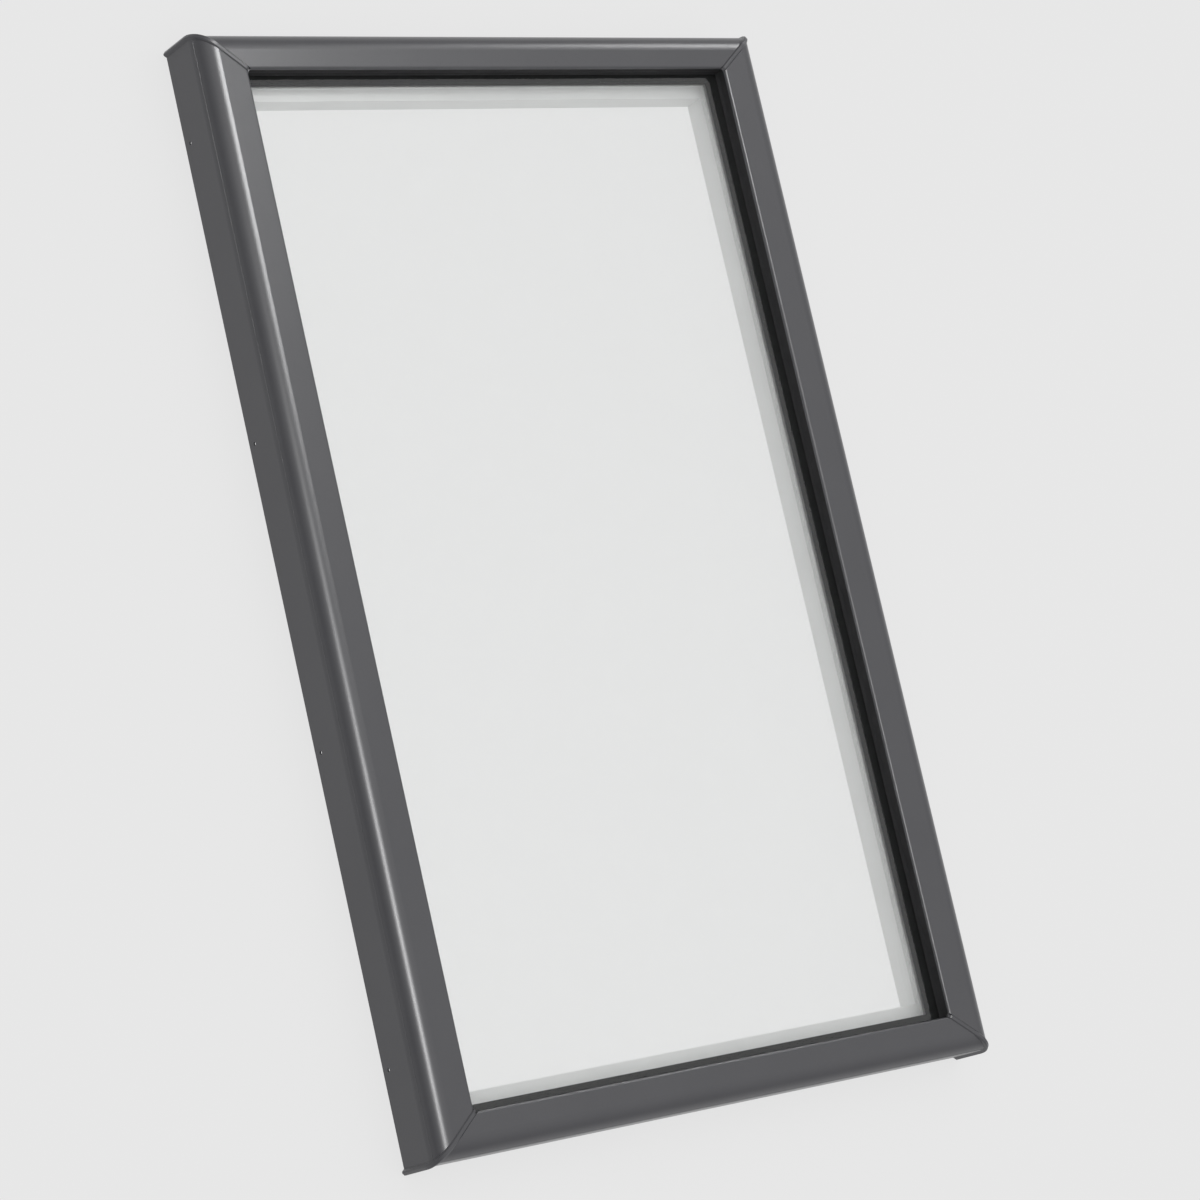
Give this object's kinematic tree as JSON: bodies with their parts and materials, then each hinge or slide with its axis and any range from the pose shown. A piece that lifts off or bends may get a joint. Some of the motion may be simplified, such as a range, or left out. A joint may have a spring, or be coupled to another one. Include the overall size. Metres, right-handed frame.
{
  "type": "fixed roof skylight",
  "caption": "Fixed roof skylight: a grey mitred aluminium frame with rounded rails and a deep skirt that laps over a kerb, round one clear sealed glass unit.",
  "frame": {"origin": "centre of the plane that the lower edges of the skirts stand on", "axes": "+X across the roof to the right, +Y up the slope to the head, +Z out of the roof through the glass"},
  "size_m": [0.9074, 1.4576, 0.0857],
  "materials": {
    "painted_aluminium": "satin baked paint, neutral dark grey",
    "corner_plastic": "moulded plastic coloured to match the rails",
    "black_rubber": "matt black extruded rubber",
    "white_plastic": "rigid white plastic, slightly satin",
    "outer_glass": "clear toughened glass",
    "inner_glass": "clear glass lites of a laminated pane",
    "clear_interlayer": "clear plastic interlayer bonded between two lites",
    "spacer_foam": "dark warm-edge spacer",
    "edge_sealant": "black edge sealant",
    "glazing_tape": "black foam glazing tape",
    "kerb_foam": "closed-cell black foam",
    "screw_steel": "zinc plated screws"
  },
  "bodies": {
    "root": {"left_rail": "painted_aluminium", "right_rail": "painted_aluminium", "foot_rail": "painted_aluminium", "head_rail": "painted_aluminium", "corner_piece_foot_left": "corner_plastic", "corner_piece_foot_right": "corner_plastic", "corner_piece_head_left": "corner_plastic", "corner_piece_head_right": "corner_plastic", "lip_gasket_left": "black_rubber", "lip_gasket_right": "black_rubber", "lip_gasket_foot": "black_rubber", "lip_gasket_head": "black_rubber", "inner_frame_left": "white_plastic", "inner_frame_right": "white_plastic", "inner_frame_foot": "white_plastic", "inner_frame_head": "white_plastic", "outer_pane": "outer_glass", "spacer_frame": "spacer_foam", "edge_seal": "edge_sealant", "inner_pane_upper_lite": "inner_glass", "inner_pane_interlayer": "clear_interlayer", "inner_pane_lower_lite": "inner_glass", "glazing_tape_left": "glazing_tape", "glazing_tape_right": "glazing_tape", "glazing_tape_foot": "glazing_tape", "glazing_tape_head": "glazing_tape", "kerb_gasket_left": "kerb_foam", "kerb_gasket_right": "kerb_foam", "kerb_gasket_foot": "kerb_foam", "kerb_gasket_head": "kerb_foam", "setting_blocks": "black_rubber", "side_blocks": "black_rubber", "frame_screws": "screw_steel"}
  },
  "joints": []
}
